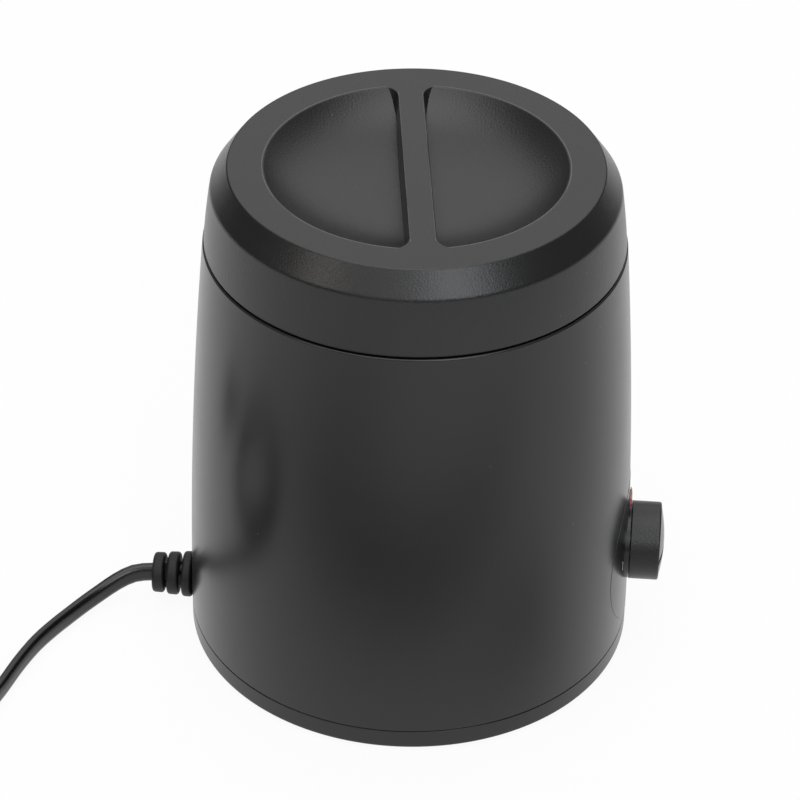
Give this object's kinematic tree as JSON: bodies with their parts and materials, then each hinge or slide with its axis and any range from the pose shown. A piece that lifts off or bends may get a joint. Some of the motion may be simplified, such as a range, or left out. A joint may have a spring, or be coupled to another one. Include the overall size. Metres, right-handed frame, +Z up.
{
  "type": "wax heater",
  "caption": "Barrel-shaped wax heater with a lift-off lid, a lift-out pot on a bail, a thermostat knob, a pilot lamp and a flat mains cord.",
  "frame": {"origin": "on the floor, under the barrel's axis", "axes": "+Z up, the knob faces -Y, the cord leaves towards +Y"},
  "size_m": [0.1797, 0.3021, 0.1672],
  "materials": {
    "satin_black": "satin moulded black plastic",
    "lid_black": "satin moulded black plastic with a fine mould grain",
    "dial_black": "smooth black plate with a plain printed scale",
    "pointer_black": "dark inlay",
    "relief_black": "matt soft plastic",
    "cord_black": "smooth glossy cable sheath",
    "foot_rubber": "matt rubber",
    "lamp_red": "clear red lens",
    "chamber_aluminium": "spun aluminium",
    "screw_steel": "zinc plated steel",
    "brass": "turned brass",
    "mica": "mica sheet round a heating wire",
    "felt": "mineral felt",
    "nylon": "natural nylon",
    "wire_brown": "wire insulation",
    "wire_blue": "wire insulation",
    "sleeve_white": "glass fibre sleeve",
    "pin_metal": "nickel plated brass"
  },
  "bodies": {
    "heater": {"housing": "satin_black", "base_cover": "satin_black", "foot_1": "foot_rubber", "foot_2": "foot_rubber", "foot_3": "foot_rubber", "foot_4": "foot_rubber", "base_screw_1": "screw_steel", "base_screw_2": "screw_steel", "base_screw_3": "screw_steel", "base_screw_4": "screw_steel", "heating_chamber": "chamber_aluminium", "flange_screw_1": "screw_steel", "flange_screw_2": "screw_steel", "flange_screw_3": "screw_steel", "heater_band": "mica", "band_screw_1": "screw_steel", "band_screw_2": "screw_steel", "insulation": "felt", "dial_plate": "dial_black", "thermostat": "nylon", "thermostat_nut": "screw_steel", "indicator_lens": "lamp_red", "lamp_holder": "nylon", "strain_relief": "relief_black", "cord_clamp": "nylon", "clamp_screw_1": "screw_steel", "clamp_screw_2": "screw_steel", "terminal_block": "nylon", "terminal_screw": "screw_steel", "thermal_fuse": "sleeve_white", "fuse_strap": "screw_steel", "stud_nut_1": "screw_steel", "stud_nut_2": "screw_steel", "live_core": "wire_brown", "neutral_core": "wire_blue", "thermostat_wire": "wire_brown", "fuse_wire": "sleeve_white", "heater_live_wire": "sleeve_white", "heater_neutral_wire": "sleeve_white", "lamp_wire": "wire_blue", "power_cord": "cord_black", "cord_coil": "cord_black", "cord_tail": "cord_black", "cord_tie": "relief_black", "plug_body": "relief_black", "plug_pin_1": "pin_metal", "plug_pin_2": "pin_metal"},
    "pot": {"wax_pot": "chamber_aluminium"},
    "bail": {"pot_bail": "screw_steel"},
    "lid": {"lid": "lid_black"},
    "knob": {"knob": "satin_black", "knob_pointer": "pointer_black", "thermostat_shaft": "brass"}
  },
  "joints": [
    {"name": "pot_lift", "type": "slide", "parent": "heater", "child": "pot", "axis": [0, 0, 1], "range_m": [0, 0.1]},
    {"name": "lid_lift", "type": "slide", "parent": "pot", "child": "lid", "axis": [0, 0, 1], "range_m": [0, 0.1]},
    {"name": "bail_swing", "type": "hinge", "parent": "pot", "child": "bail", "pos_m": [0, 0, 0.1375], "axis": [1, 0, 0], "range_deg": [0, 180]},
    {"name": "knob_turn", "type": "hinge", "parent": "heater", "child": "knob", "pos_m": [0, -0.07, 0.0335], "axis": [0, 1, 0], "range_deg": [0, 270]}
  ],
  "couplings": [
    {"joint": "bail_swing", "follows": "lid_lift", "rad_per_m": 31.416}
  ]
}
